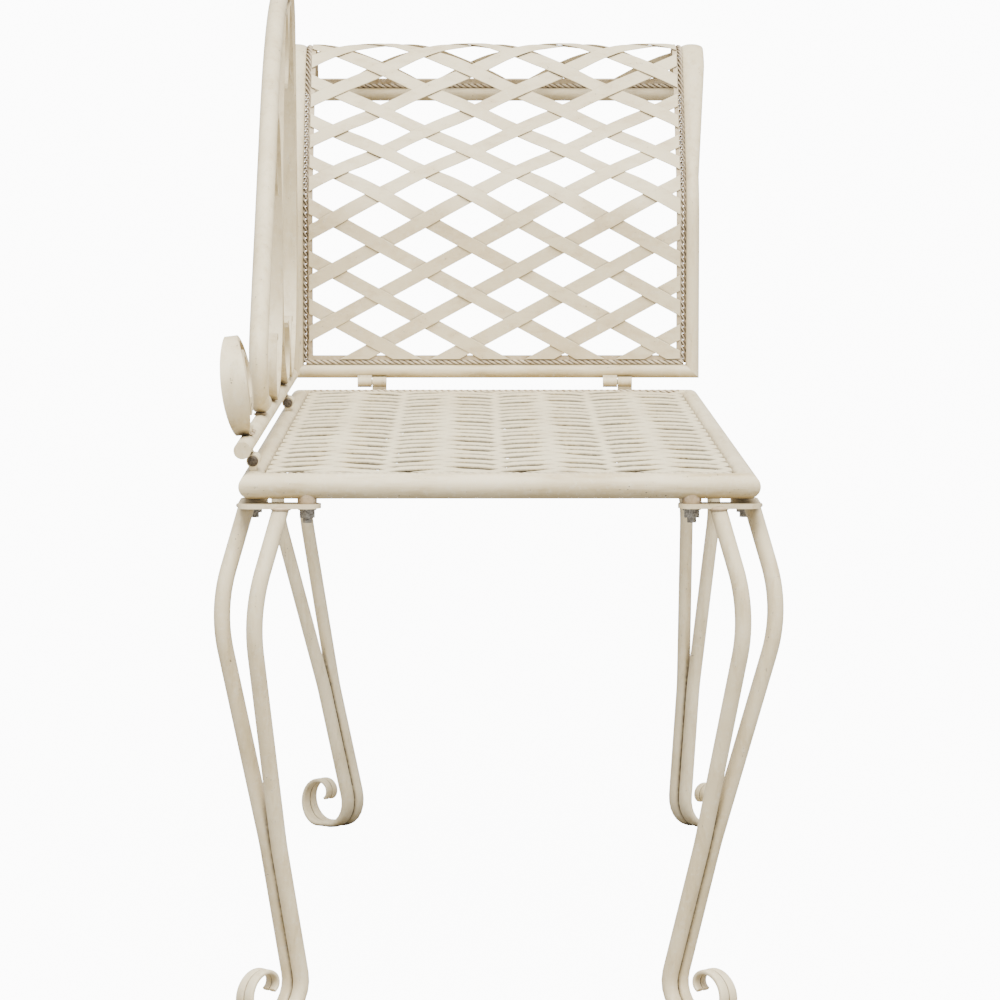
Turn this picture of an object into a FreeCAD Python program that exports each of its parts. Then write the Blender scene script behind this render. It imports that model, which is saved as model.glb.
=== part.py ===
import FreeCAD, Part
import math
import os

from FreeCAD import Placement, Rotation, Vector

# A painted steel chaise-style garden bench. Millimetres, +Z up, +X from the open foot end
# to the rolled end rest, +Y towards the scrolled back.

# Seat frame
seat_length = 1060.0
seat_width = 450.0
seat_height = 484.0
seat_tube = 22.0
tube_wall = 1.5

# Woven lattice of flat strips, with its edge bars and wire trim
strip_width = 15.5
strip_thick = 1.0
weave_gap = 0.2
lattice_rows = 8
seat_columns = 42
rest_columns = 17
edge_bar = 5.0
trim_wire = 5.0
strip_lap = 1.5
lattice_sink = 2.0
facet_turn = 10.0

# Panels that stand on the seat: end rest and back
panel_tube = 15.0
panel_rise = 20.0

# End rest, from its bottom bar up and over the roll
rest_width = 450.0
rest_height = 380.0
rest_upright = 160.0
rest_lean = 36.0
rest_bend_radius = 90.0
rest_roll_radius = 52.0
rest_rail_wide = 25.0
rest_rail_thin = 9.0

# Barrel hinges
hinge_barrel = 11.5
hinge_length = 32.0
hinge_rise = 8.5
hinge_pin = 6.0
hinge_gap = 0.6
hinge_foot = 6.0
pin_clearance = 0.05
rest_hinge_offset = 135.0
back_hinge_stations = (52.0, 749.0)

# Back panel, measured along the bench from the foot end
back_foot_inset = 6.0
back_post_setback = 50.0
back_post_lean = 9.7
back_height = 440.0
back_tube = 18.0
hook_station = 334.0
hook_tail = 25.0
hook_radius = 40.0
back_rise_angle = 43.0
back_crest_radius = 480.0
back_fall_angle = 4.0
back_corner_radius = 45.0
cap_thick = 2.0

# Scrollwork of flat bar
scroll_thick = 5.0
scroll_wide = 16.0
scroll_pair_setback = 367.0
scroll_touch = 148.0
scroll_lean = 38.0
upper_curl_radius = 38.0
upper_curl_turn = 235.0
lower_curl_radius = 30.0
lower_curl_turn = 200.0
volute_station = 84.0
volute_tail = 45.0
volute_radius = 44.0
volute_thick = 5.0
volute_wide = 23.0
volute_overhang = 2.0
volute_lean = 7.0
volute_crown = 50.5
volute_shrink = 0.8
volute_half_turns = 4

# Legs: two round rods each, spread at the knee and side by side at the foot
leg_rod = 14.5
leg_inset = 10.0
leg_spread_top = 15.5
leg_spread_foot = 5.3
leg_splay = 22.0
leg_draw = 57.0
leg_tucks = {"foot_back": 54.0, "foot_front": 81.0, "head_back": 79.0, "head_front": 27.0}
knee_height = 366.0
knee_radius = 120.0
ankle_height = 158.0
ankle_bend_radius = 300.0
heel_radius = 29.5
foot_reach = 45.0
foot_scroll_radius = 18.5
foot_curl_radius = 13.0
foot_curl_turn = 100.0
foot_flat = 0.6

# Leg plates and their fasteners
plate_thick = 4.0
plate_wide = 24.0
plate_gap = 4.0
stud_diameter = 8.0
stud_spacing = 48.0
stud_tail = 4.5
stud_hole_clearance = 0.5
thread_clearance = 0.1
saddle_diameter = 17.0
washer_diameter = 16.0
washer_thick = 1.6
nut_across_flats = 13.0
nut_height = 6.5

UP = Vector(0, 0, 1)
upright = Rotation(Vector(1, 0, 0), 90)

# Lines that several pieces share
tube_x = seat_length / 2 - seat_tube / 2
tube_y = seat_width / 2 - seat_tube / 2
tube_z = seat_height - seat_tube / 2
foot_x = -seat_length / 2
panel_z = seat_height + panel_rise
hinge_z = seat_height + hinge_rise
hinge_reach = (hinge_barrel + panel_tube) / 2 + hinge_gap
panel_out = math.sqrt(hinge_reach ** 2 - (panel_rise - hinge_rise) ** 2)
back_y = tube_y + panel_out
rest_x = tube_x + panel_out
rail_top = panel_z + panel_tube / 2
post_x = tube_x - back_post_setback
pair_x = post_x - scroll_pair_setback


def follow(place, distance, curve):
    u, v, heading = place
    if curve == 0:
        return u + distance * math.cos(heading), v + distance * math.sin(heading), heading
    turned = heading + curve * distance
    across = (math.sin(turned) - math.sin(heading)) / curve
    along = (math.cos(heading) - math.cos(turned)) / curve
    return u + across, v + along, turned


class Track:
    # A flat path of straight runs and tangent bends. Bends to the left are positive.
    def __init__(self, u, v, heading):
        self.pieces = []
        self.length = 0.0
        self.end = (u, v, math.radians(heading))

    def add(self, length, curve):
        self.pieces.append((self.length, length, curve, self.end))
        self.end = follow(self.end, length, curve)
        self.length += length
        return self

    def run(self, length):
        return self.add(length, 0.0)

    def bend(self, radius, turn):
        return self.add(radius * math.radians(abs(turn)), math.copysign(1 / radius, turn))

    def at(self, distance, left=0.0):
        begin, length, curve, place = self.pieces[0]
        for piece in self.pieces[1:]:
            if piece[0] <= distance:
                begin, length, curve, place = piece
        u, v, heading = follow(place, distance - begin, curve)
        return u - left * math.sin(heading), v + left * math.cos(heading), heading

    def turn_places(self, turn):
        places = []
        for begin, length, curve, place in self.pieces:
            steps = math.ceil(abs(length * curve) / math.radians(turn))
            places += [begin + length * step / steps for step in range(steps + 1) if steps]
        return places

    def edges(self, left=0.0, first=0.0, last=None):
        last = self.length if last is None else last
        shapes = []
        for begin, length, curve, place in self.pieces:
            low = max(begin, first)
            high = min(begin + length, last)
            if high - low < 1e-6:
                continue
            points = [Vector(*self.at(low + share * (high - low), left)[:2], 0) for share in (0, 0.5, 1)]
            if curve == 0:
                shapes.append(Part.makeLine(points[0], points[2]))
            else:
                shapes.append(Part.Arc(*points).toShape())
        return shapes

    def wire(self, y, first=0.0, last=None):
        path = Part.Wire(self.edges(0.0, first, last))
        path.Placement = Placement(Vector(0, y, 0), upright)
        return path


def disc(radius, centre, normal):
    return Part.Face(Part.Wire(Part.makeCircle(radius, centre, normal)))


def round_bar(path, diameter, wall=0.0):
    start = path.OrderedEdges[0]
    centre = start.valueAt(start.FirstParameter)
    direction = start.tangentAt(start.FirstParameter)
    section = disc(diameter / 2, centre, direction)
    if wall:
        section = section.cut(disc(diameter / 2 - wall, centre, direction)).Faces[0]
    return path.makePipe(section)


def straight_bar(start, end, diameter, wall=0.0):
    return round_bar(Part.Wire([Part.makeLine(start, end)]), diameter, wall)


def flat_bar(track, thick, wide, y, first=0.0, last=None):
    left = track.edges(thick / 2, first, last)
    right = track.edges(-thick / 2, first, last)
    ends = []
    for distance in (first, track.length if last is None else last):
        corners = [Vector(*track.at(distance, side * thick / 2)[:2], 0) for side in (1, -1)]
        ends.append(Part.makeLine(*corners))
    outline = Part.Wire(Part.__sortEdges__(left + right + ends))
    bar = Part.Face(outline).extrude(Vector(0, 0, wide))
    bar.Placement = Placement(Vector(0, y + wide / 2, 0), upright)
    return bar


def rounded_route(points, radii):
    edges = []
    reached = points[0]
    for before, corner, after, radius in zip(points, points[1:], points[2:], radii):
        back = (before - corner).normalize()
        ahead = (after - corner).normalize()
        half = back.getAngle(ahead) / 2
        leave = corner + back * (radius / math.tan(half))
        rejoin = corner + ahead * (radius / math.tan(half))
        inward = (back + ahead).normalize()
        middle = corner + inward * (radius / math.sin(half) - radius)
        edges.append(Part.makeLine(reached, leave))
        edges.append(Part.Arc(leave, middle, rejoin).toShape())
        reached = rejoin
    edges.append(Part.makeLine(reached, points[-1]))
    return edges


def solve(error, low, high):
    # The first root above low, found by steps and then by halving
    step = (high - low) / 40
    while low + step < high and error(low) * error(low + step) > 0:
        low += step
    high = low + step
    for _ in range(40):
        middle = (low + high) / 2
        if error(low) * error(middle) <= 0:
            high = middle
        else:
            low = middle
    return (low + high) / 2


def facets(a, b, c, d):
    # One flat face through four corners, or two triangles where the corners are not in one plane
    normal = (b - a).cross(d - a).normalize()
    loops = [[a, b, c, d]] if abs(normal.dot(c - a)) < 1e-6 else [[a, b, c], [a, c, d]]
    return [Part.Face(Part.makePolygon(loop + loop[:1])) for loop in loops]


def faceted_solid(rings):
    faces = facets(*rings[0]) + facets(*rings[-1])
    for ring, following in zip(rings, rings[1:]):
        for index in range(3):
            faces += facets(ring[index], ring[index + 1], following[index + 1], following[index])
        # The underside is split along the same corners as the top
        faces += facets(ring[0], following[0], following[3], ring[3])
    shell = Part.Shell(faces)
    shell.sewShape()
    solid = Part.Solid(shell)
    return solid if solid.Volume > 0 else solid.reversed()


# Lattice: two families of strips cross on a surface that is a track drawn out along Y. Each strip
# passes over and under the others by turns and ends on the edge bars. Its cross sections are square to
# the side edges on a flat seat and follow the straight lines of the surface on a rolled one.
weave_lift = (strip_thick + weave_gap) / 2


def level_at(levels, place):
    for (begin, low), (end, high) in zip(levels, levels[1:]):
        if place <= end:
            return low + (high - low) * (place - begin) / (end - begin)
    return levels[-1][1]


def weave_levels(sign, cells, pitch, reach):
    # Flat on the edge bar, level over each crossing, flat on the far edge bar
    levels = [(-strip_lap, -weave_lift), (edge_bar / 2, -weave_lift)]
    for cell in range(cells):
        level = sign * weave_lift * (-1) ** cell
        middle = (cell + 0.5) * pitch
        levels += [(middle - reach, level), (middle + reach, level)]
    length = cells * pitch
    return levels + [(length - edge_bar / 2, -weave_lift), (length + strip_lap, -weave_lift)]


def strip_sections(sign, number, cells, pitches, halves, levels, turns):
    # Each section is a place along the strip, with the low and high edges of the strip there
    limits = (-strip_lap, cells[1] * pitches[1] + strip_lap)

    def middle(place):
        return pitches[1] * (number + sign * place / pitches[0])

    def place_of(across):
        return sign * (across / pitches[1] - number) * pitches[0]

    cuts = [place_of(limit + side * halves[1]) for limit in limits for side in (-1, 1)]
    first = max(min(cuts) + strip_thick, -strip_lap)
    last = min(max(cuts) - strip_thick, cells[0] * pitches[0] + strip_lap)
    bends = cuts + turns + [place for place, level in levels]
    places = [first, last] + [place for place in bends if first < place < last]
    sections = []
    for place in sorted(set(round(place, 3) for place in places)):
        low = max(middle(place) - halves[1], limits[0])
        high = min(middle(place) + halves[1], limits[1])
        sections.append((place, low, high, level_at(levels, place)))
    return sections


def lattice(track, begin, end, span, columns, base, rolled):
    cells = (columns, lattice_rows) if rolled else (lattice_rows, columns)
    lengths = (end - begin, span) if rolled else (span, end - begin)
    pitches = [length / count for length, count in zip(lengths, cells)]
    angle = math.atan2(pitches[1], pitches[0])
    halves = (strip_width / 2 / math.sin(angle), strip_width / 2 / math.cos(angle))
    turns = [place - begin for place in track.turn_places(facet_turn)] if rolled else []

    def corner(place, across, height):
        distance, y = (begin + place, across) if rolled else (begin + across, place)
        x, z, heading = track.at(distance, base + height)
        return Vector(x, y - span / 2, z)

    def ring(place, low, high, level):
        bottom = level - strip_thick / 2
        top = level + strip_thick / 2
        return [corner(place, low, bottom), corner(place, low, top), corner(place, high, top),
                corner(place, high, bottom)]

    rising = (1, range(-((cells[0] - 1) // 2) * 2, cells[1], 2))
    falling = (-1, range(1, cells[0] + cells[1], 2))
    families = []
    for sign, numbers in (rising, falling):
        levels = weave_levels(sign, cells[0], pitches[0], halves[0])
        strips = []
        for number in numbers:
            sections = strip_sections(sign, number, cells, pitches, halves, levels, turns)
            strips.append(faceted_solid([ring(*section) for section in sections]))
        families.append(strips)
    return families


def prism(points, along):
    return Part.Face(Part.makePolygon(points + points[:1])).extrude(along)


# Seat: four tubes, mitred where they meet at the corners
def mitred_tube(start, end, across, lift):
    # across points from the outside of the frame inwards, lift is square to the frame
    tube = straight_bar(start, end, seat_tube, tube_wall)
    along = (end - start).normalize() * seat_tube
    base = across * (-seat_tube / 2) - lift * seat_tube
    inner = across * seat_tube
    corners = [start + base, end + base, end + base + inner - along, start + base + inner + along]
    return tube.common(prism(corners, lift * (2 * seat_tube)))


def seat_end_rail(side):
    x = side * tube_x
    y = seat_width / 2
    return mitred_tube(Vector(x, -y, tube_z), Vector(x, y, tube_z), Vector(-side, 0, 0), UP)


def seat_side_rail(side):
    x = seat_length / 2
    y = side * tube_y
    return mitred_tube(Vector(-x, y, tube_z), Vector(x, y, tube_z), Vector(0, -side, 0), UP)


# The trim wire touches the tube, and the edge bar touches the trim wire
lattice_z = seat_height - lattice_sink
bar_z = lattice_z - weave_lift - strip_thick / 2 - edge_bar / 2
trim_in = math.sqrt((seat_tube / 2 + trim_wire / 2) ** 2 - (bar_z - tube_z) ** 2)
bar_in = trim_in + trim_wire / 2 + edge_bar / 2


def seat_edges(inset, maker, wide, reach):
    x = tube_x - inset
    y = tube_y - inset
    end_y = y - wide / 2
    bars = []
    for side in (-1, 1):
        bars.append(maker(Vector(-x - reach, side * y, bar_z), Vector(x + reach, side * y, bar_z)))
        bars.append(maker(Vector(side * x, -end_y, bar_z), Vector(side * x, end_y, bar_z)))
    return bars


def square_bar(start, end):
    along = (end - start).normalize()
    across = along.cross(UP) * (edge_bar / 2)
    lift = UP * (edge_bar / 2)
    ring = [start + across + lift, start - across + lift, start - across - lift, start + across - lift]
    return prism(ring, end - start)


def trim_bar(start, end):
    return straight_bar(start, end, trim_wire)


def seat_lattice():
    x = tube_x - bar_in
    track = Track(-x, lattice_z, 0).run(2 * x)
    return lattice(track, 0.0, 2 * x, 2 * (tube_y - bar_in), seat_columns, 0.0, False)


# Legs: plate under the seat corner, two rods, and studs with saddles, washers and nuts
plate_top = tube_z - seat_tube / 2 - plate_gap
plate_bottom = plate_top - plate_thick


def corner(x_side, y_side):
    origin = Vector(x_side * tube_x, y_side * tube_y, 0)
    return origin, Vector(-x_side, 0, 0), Vector(0, -y_side, 0)


def leg_rods(x_side, y_side, tuck):
    # tuck is how far the lower leg comes in sideways, leg_draw how far it comes in along the bench
    origin, along, across = corner(x_side, y_side)
    top = origin + (along + across) * leg_inset + UP * plate_bottom
    outward = (along + across).normalize() * -1
    splay = math.tan(math.radians(leg_splay))
    floor_z = leg_rod / 2 - foot_flat
    knee = top + outward * ((plate_bottom - knee_height) * splay) + UP * (knee_height - plate_bottom)
    heel = knee + along * leg_draw + across * tuck + UP * (floor_z - knee_height)
    ankle = knee + (heel - knee) * ((knee_height - ankle_height) / (knee_height - floor_z))
    toe = heel + outward * foot_reach
    start = top + (top - knee) * (leg_rod / (plate_bottom - knee_height))
    rods = []
    for side in (1, -1):
        spread = (along - across) * side
        points = [start + spread * leg_spread_top, knee + spread * leg_spread_top]
        points += [place + spread * leg_spread_foot for place in (ankle, heel, toe)]
        edges = rounded_route(points, [knee_radius, ankle_bend_radius, heel_radius])
        scroll = Track(0, 0, 0).bend(foot_scroll_radius, 180).bend(foot_curl_radius, foot_curl_turn)
        curl = Part.Wire(scroll.edges())
        curl.Placement = Placement(points[-1], Rotation(outward, Vector(), UP.cross(outward) * -1, "XZY"))
        rod = round_bar(Part.Wire(edges + curl.Edges), leg_rod)
        keep = Part.makeBox(2 * seat_length, 2 * seat_length, plate_bottom)
        keep.translate(Vector(-seat_length, -seat_length, 0))
        rods.append(rod.common(keep).Solids[0])
    return rods


def stud_places(x_side, y_side):
    origin, along, across = corner(x_side, y_side)
    return [(origin + along * stud_spacing, along), (origin + across * stud_spacing, across)]


def upright_cylinder(place, diameter, bottom, top):
    return Part.makeCylinder(diameter / 2, top - bottom, Vector(place.x, place.y, bottom))


def leg_plate(x_side, y_side):
    origin, along, across = corner(x_side, y_side)
    plate = upright_cylinder(origin, plate_wide, plate_bottom, plate_top)
    for place, direction in stud_places(x_side, y_side):
        arm = square_arm(origin, place, direction)
        plate = plate.fuse([arm, upright_cylinder(place, plate_wide, plate_bottom, plate_top)])
    for place, direction in stud_places(x_side, y_side):
        hole = stud_diameter + 2 * stud_hole_clearance
        plate = plate.cut(upright_cylinder(place, hole, plate_bottom - 1, plate_top + 1))
    return plate.removeSplitter()


def square_arm(origin, place, direction):
    sideways = direction.cross(UP) * (plate_wide / 2)
    base = UP * plate_bottom
    ring = [origin + sideways, place + sideways, place - sideways, origin - sideways]
    return prism([spot + base for spot in ring], UP * plate_thick)


def seat_tube_over(place, direction):
    start = Vector(place.x, place.y, tube_z) - direction * saddle_diameter
    return Part.makeCylinder(seat_tube / 2, 2 * saddle_diameter, start, direction)


def leg_saddle(place, direction):
    body = upright_cylinder(place, saddle_diameter, plate_top, tube_z)
    bore = upright_cylinder(place, stud_diameter + 2 * stud_hole_clearance, plate_top - 1, tube_z)
    return body.cut([seat_tube_over(place, direction), bore])


nut_top = plate_bottom - washer_thick
nut_bottom = nut_top - nut_height


def leg_stud(place, direction):
    stud = upright_cylinder(place, stud_diameter, nut_bottom - stud_tail, tube_z)
    return stud.cut(seat_tube_over(place, direction))


def leg_washer(place, _):
    bore = upright_cylinder(place, stud_diameter + 2 * stud_hole_clearance, nut_top - 1, plate_bottom + 1)
    return upright_cylinder(place, washer_diameter, nut_top, plate_bottom).cut(bore)


def leg_nut(place, _):
    reach = nut_across_flats / 2 / math.cos(math.pi / 6)
    turns = [math.pi / 3 * step for step in range(7)]
    ring = [Vector(place.x + reach * math.cos(t), place.y + reach * math.sin(t), nut_bottom) for t in turns]
    body = Part.Face(Part.makePolygon(ring)).extrude(UP * nut_height)
    bore = upright_cylinder(place, stud_diameter + 2 * thread_clearance, nut_bottom - 1, nut_top + 1)
    return body.cut(bore)


# Hinges: a barrel on the seat tube and a barrel on the panel tube turn on one pin. Each barrel has
# a small foot that fits the round of the tube it is welded to.
def barrel(axis_start, axis, toward, tube_distance, tube_radius, bore):
    length = (hinge_length - hinge_gap) / 2
    body = Part.makeCylinder(hinge_barrel / 2, length)
    foot = Part.makeBox(tube_distance, hinge_foot, length, Vector(0, -hinge_foot / 2, 0))
    tube = Part.makeCylinder(tube_radius, 3 * length, Vector(tube_distance, 0, -length))
    hole = Part.makeCylinder(bore / 2, 3 * length, Vector(0, 0, -length))
    piece = body.fuse(foot).cut([tube, hole]).Solids[0]
    piece.Placement = Placement(axis_start, Rotation(toward, Vector(), axis, "ZXY"))
    return piece


def hinge(centre, axis, outward):
    start = centre - axis * (hinge_length / 2)
    second = centre + axis * (hinge_gap / 2)
    to_panel = outward * panel_out + UP * (panel_rise - hinge_rise)
    down = hinge_rise + seat_tube / 2
    on_seat = barrel(start, axis, UP * -1, down, seat_tube / 2, hinge_pin)
    on_panel = barrel(second, axis, to_panel.normalize(), hinge_reach, panel_tube / 2,
                      hinge_pin + 2 * pin_clearance)
    pin = Part.makeCylinder(hinge_pin / 2, hinge_length, start, axis)
    return on_seat, pin, on_panel


def back_hinges():
    places = [Vector(foot_x + station, tube_y, hinge_z) for station in back_hinge_stations]
    return [hinge(place, Vector(1, 0, 0), Vector(0, 1, 0)) for place in places]


def rest_hinges():
    places = [Vector(tube_x, side * rest_hinge_offset, hinge_z) for side in (1, -1)]
    return [hinge(place, Vector(0, 1, 0), Vector(1, 0, 0)) for place in places]


# End rest: mitred round tube that widens and flattens as it leans out, then rolls over
def rest_track():
    lean = math.radians(rest_lean)
    track = Track(rest_x, panel_z, 90).run(rest_upright)
    track.bend(rest_bend_radius, -rest_lean)
    roll_top = rest_roll_radius * (1 - math.sin(lean))
    crest_z = seat_height + rest_height - rest_rail_thin / 2
    track.run((crest_z - roll_top - track.end[1]) / math.cos(lean))
    return track.bend(rest_roll_radius, rest_lean - 180)


rest_path = rest_track()
rest_tube_y = rest_width / 2 - panel_tube / 2
rest_inner = rest_width / 2 - panel_tube
rest_trim_y = rest_inner - trim_wire / 2
rest_bar_y = rest_trim_y - trim_wire / 2 - edge_bar / 2
rest_first = panel_tube / 2 + trim_wire + edge_bar / 2
rest_last = rest_path.length - rest_first


def rest_corner(y, z):
    return Vector(rest_x - panel_tube, y, z)


def rest_bottom_bar():
    bar = straight_bar(Vector(rest_x, -rest_width / 2, panel_z), Vector(rest_x, rest_width / 2, panel_z),
                       panel_tube, tube_wall)
    low = panel_z - panel_tube / 2
    corners = [rest_corner(-rest_width / 2, low), rest_corner(rest_width / 2, low),
               rest_corner(rest_inner, low + panel_tube), rest_corner(-rest_inner, low + panel_tube)]
    return bar.common(prism(corners, Vector(2 * panel_tube, 0, 0)))


def rest_rail_ring(distance, wide, thin, side):
    x, z, heading = rest_path.at(distance)
    ring = Part.Ellipse(Vector(), wide / 2, thin / 2).toShape()
    tangent = Vector(math.cos(heading), 0, math.sin(heading))
    ring.Placement = Placement(Vector(x, side * (rest_inner + wide / 2), z),
                               Rotation(Vector(0, 1, 0), Vector(), tangent, "ZXY"))
    return Part.Wire(ring)


def rest_side_rail(side):
    lean_start, roll_start = [piece[0] for piece in rest_path.pieces[2:]]
    y = side * rest_tube_y
    foot = Track(rest_x, panel_z - panel_tube, 90).run(panel_tube + rest_upright)
    foot.bend(rest_bend_radius, -rest_lean)
    low = panel_z - panel_tube / 2
    inner = side * rest_inner
    outer = side * rest_width / 2
    reach = panel_z + rest_height
    corners = [rest_corner(outer, low), rest_corner(inner, low + panel_tube), rest_corner(inner, reach),
               rest_corner(outer, reach)]
    lower = round_bar(foot.wire(y), panel_tube).common(prism(corners, Vector(rest_height, 0, 0)))
    taper = Part.makeLoft([rest_rail_ring(lean_start, panel_tube, panel_tube, side),
                           rest_rail_ring(roll_start, rest_rail_wide, rest_rail_thin, side)], True, True)
    x, z, heading = rest_path.at(roll_start, -rest_roll_radius)
    section = Part.Face(rest_rail_ring(roll_start, rest_rail_wide, rest_rail_thin, side))
    rolled = section.revolve(Vector(x, 0, z), Vector(0, 1, 0), 180 - rest_lean)
    return lower.fuse([taper, rolled]).removeSplitter()


def rest_cross_bar(distance, diameter, half, wall=0.0):
    x, z, heading = rest_path.at(distance)
    return straight_bar(Vector(x, -half, z), Vector(x, half, z), diameter, wall)


def rest_edge_bars():
    reach = edge_bar / 2
    bars = [flat_bar(rest_path, edge_bar, edge_bar, side * rest_bar_y, rest_first - reach, rest_last + reach)
            for side in (1, -1)]
    wide = 2 * rest_bar_y - edge_bar
    for distance in (rest_first, rest_last):
        bars.append(flat_bar(rest_path, edge_bar, wide, 0.0, distance - reach, distance + reach))
    return bars


def rest_trim():
    reach = (panel_tube + trim_wire) / 2
    ends = (reach, rest_path.length - reach)
    wires = [round_bar(rest_path.wire(side * rest_trim_y, *ends), trim_wire) for side in (1, -1)]
    return wires + [rest_cross_bar(distance, trim_wire, rest_trim_y - trim_wire / 2) for distance in ends]


def rest_lattice():
    # The facets of the strips stay just clear of the round of the edge bars
    sag = (rest_roll_radius + edge_bar) * (1 - math.cos(math.radians(facet_turn) / 2))
    base = edge_bar / 2 + strip_thick / 2 + weave_lift + sag
    return lattice(rest_path, rest_first, rest_last, 2 * rest_bar_y, rest_columns, base, True)


# Back: bottom rail, camel-shaped top tube that turns down into the end post, and scrollwork
def back_rail():
    start = Vector(foot_x + back_foot_inset + cap_thick, back_y, panel_z)
    end = Vector(post_x + back_tube / 2, back_y, panel_z)
    return straight_bar(start, end, panel_tube, tube_wall)


def back_rail_caps():
    near = Vector(foot_x + back_foot_inset, back_y, panel_z)
    far = Vector(post_x + back_tube / 2, back_y, panel_z)
    return [Part.makeCylinder(panel_tube / 2, cap_thick, place, Vector(1, 0, 0)) for place in (near, far)]


def back_track():
    rise = math.radians(back_rise_angle)
    fall = math.radians(back_fall_angle)
    lean = math.radians(back_post_lean)
    crest_z = seat_height + back_height - back_tube / 2
    crest_lift = back_crest_radius * (1 - math.cos(rise))
    corner_turn = back_fall_angle - 90 + back_post_lean
    track = Track(foot_x + hook_station + hook_tail, rail_top + back_tube / 2, 180).run(hook_tail)
    track.bend(hook_radius, -(180 - back_rise_angle))
    track.run((crest_z - crest_lift - track.end[1]) / math.sin(rise))
    track.bend(back_crest_radius, -(back_rise_angle + back_fall_angle))
    turned = Track(*track.end[:2], -back_fall_angle).bend(back_corner_radius, corner_turn).end
    missing = post_x - turned[0] - (turned[1] - panel_z) * math.tan(lean)
    track.run(missing / (math.cos(fall) - math.sin(fall) * math.tan(lean)))
    track.bend(back_corner_radius, corner_turn)
    return track.run((track.end[1] - panel_z) / math.cos(lean))


back_path = back_track()


def back_top_tube():
    tube = round_bar(back_path.wire(back_y), back_tube, tube_wall)
    rail = Part.makeCylinder(panel_tube / 2, seat_length, Vector(post_x - seat_length / 2, back_y, panel_z),
                             Vector(1, 0, 0))
    return tube.cut(rail).Solids[0]


def scroll_tracks(back_x, side):
    # The scroll rises from a curl on the rail and is upright at scroll_touch, and its upper curl
    # meets the top tube. side is +1 where it opens towards +X.
    touch_z = seat_height + scroll_touch
    lower_radius = touch_z - rail_top - scroll_thick / 2
    path = back_path.wire(back_y)

    def clearance(radius):
        upper = Track(back_x, touch_z, 90).bend(radius, -side * scroll_lean)
        u, v, heading = upper.at(upper.length, -side * upper_curl_radius)
        room = Part.Vertex(Vector(u, back_y, v)).distToShape(path)[0] - back_tube / 2
        return room - upper_curl_radius - scroll_thick / 2

    radius = solve(clearance, upper_curl_radius, 2 * back_height)
    rise = Track(back_x, touch_z, 90).bend(radius, -side * scroll_lean)
    rise.bend(upper_curl_radius, -side * upper_curl_turn)
    fall = Track(back_x, touch_z, -90).bend(lower_radius, side * 90)
    fall.bend(lower_curl_radius, side * lower_curl_turn)
    return rise, fall


def lyre_scroll(back_x, side):
    halves = [flat_bar(track, scroll_thick, scroll_wide, back_y) for track in scroll_tracks(back_x, side)]
    return halves[0].fuse(halves[1]).removeSplitter()


def post_scroll():
    # The scroll at the end leans its back on the post
    foot = Vector(post_x, back_y, panel_z)
    top_x, top_z, heading = back_path.pieces[-1][3]
    post = Part.makeLine(foot, Vector(top_x, back_y, top_z))

    def clearance(back_x):
        spine = Part.Wire([track.wire(back_y).Edges[0] for track in scroll_tracks(back_x, -1)])
        return spine.distToShape(post)[0] - (back_tube + scroll_thick) / 2

    return lyre_scroll(solve(clearance, top_x - back_tube - scroll_touch, post_x - back_tube), -1)


def back_volute():
    # The band is widest half way up, and the volute leans out over the rail
    track = Track(foot_x + volute_station + volute_tail, rail_top + volute_thick / 2, 180).run(volute_tail)
    radius = volute_radius - volute_thick / 2
    for _ in range(volute_half_turns):
        track.bend(radius, -180)
        radius *= volute_shrink
    y = back_y + volute_overhang
    band = flat_bar(track, volute_thick, volute_wide, y)
    outline = Part.Ellipse(Vector(), volute_crown, volute_wide / 2).toShape()
    centre = Vector(foot_x, y, rail_top + volute_radius)
    outline.Placement = Placement(centre, Rotation(UP, Vector(), Vector(1, 0, 0), "ZXY"))
    crown = Part.Face(Part.Wire(outline)).extrude(Vector(seat_length, 0, 0))
    shaped = band.common(crown).Solids[0]
    shaped.rotate(Vector(foot_x, back_y, panel_z), Vector(1, 0, 0), -volute_lean)
    return shaped


def group(shapes):
    return Part.makeCompound(shapes)


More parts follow.
